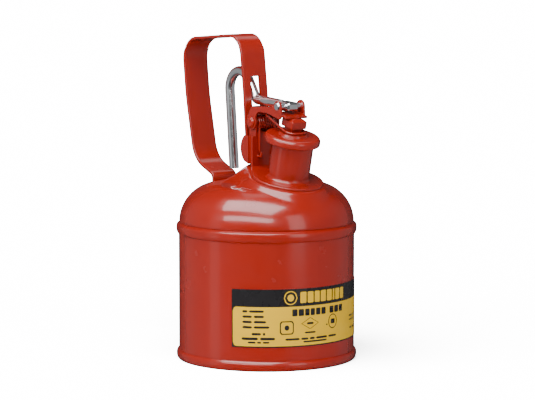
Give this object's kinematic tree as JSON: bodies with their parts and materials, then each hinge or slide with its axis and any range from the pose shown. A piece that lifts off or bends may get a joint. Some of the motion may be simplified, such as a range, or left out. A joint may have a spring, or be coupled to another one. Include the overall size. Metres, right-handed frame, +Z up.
{
  "type": "safety gas can",
  "caption": "Small red steel safety can for flammable liquid, with a leaning spout, sprung lid, strap handle and wire trigger.",
  "frame": {"origin": "on the can's vertical axis, at floor level, under the middle of the bottom", "axes": "+Z up along the can's axis; +X towards the spout; +Y to the left when looking along +X; the handle, hinge and spout are in the plane Y = 0"},
  "size_m": [0.1478, 0.121, 0.2166],
  "materials": {
    "red_paint": "gloss enamel",
    "red_paint_thin": "gloss enamel over spring wire",
    "weld_paint": "gloss enamel over a rough weld",
    "bright_wire": "bright zinc plate",
    "bright_rivet": "bright",
    "inner_steel": "satin",
    "wire_cloth": "woven wire",
    "gasket_rubber": "matt",
    "label_film": "printed film, yellow with a black band"
  },
  "bodies": {
    "can": {"body_shell": "red_paint", "side_seam": "red_paint", "bottom_pan": "red_paint", "dome_top": "red_paint", "label": "label_film", "spout_flange": "red_paint", "spout_neck": "red_paint", "neck_weld": "red_paint", "arrester_collar": "inner_steel", "arrester_screen": "wire_cloth", "arrester_base": "inner_steel", "hinge_bracket": "red_paint", "hinge_pin": "red_paint", "lid_spring": "red_paint_thin", "handle_strap": "red_paint", "handle_weld_rear": "weld_paint", "handle_weld_front": "weld_paint"},
    "lid": {"lid_cap": "red_paint", "lid_gasket": "gasket_rubber", "gasket_retainer": "inner_steel", "lid_rivet": "red_paint", "lid_block": "red_paint", "lid_arm": "red_paint", "trigger_pin": "bright_rivet"},
    "trigger": {"trigger_rod": "bright_wire"}
  },
  "joints": [
    {"name": "lid_hinge", "type": "hinge", "parent": "can", "child": "lid", "pos_m": [-0.004, 0, 0.159], "axis": [0, -1, 0], "range_deg": [0, 38], "stiffness_Nm_per_rad": 0.35, "springref_deg": -45.84, "deforming": ["lid_spring"]},
    {"name": "trigger_pivot", "type": "hinge", "parent": "lid", "child": "trigger", "pos_m": [0.0264, 0, 0.1712], "axis": [0, -1, 0], "range_deg": [-24.4, 0.1]}
  ],
  "couplings": [
    {"joint": "trigger_pivot", "follows": "lid_hinge", "ratio": -0.64}
  ]
}
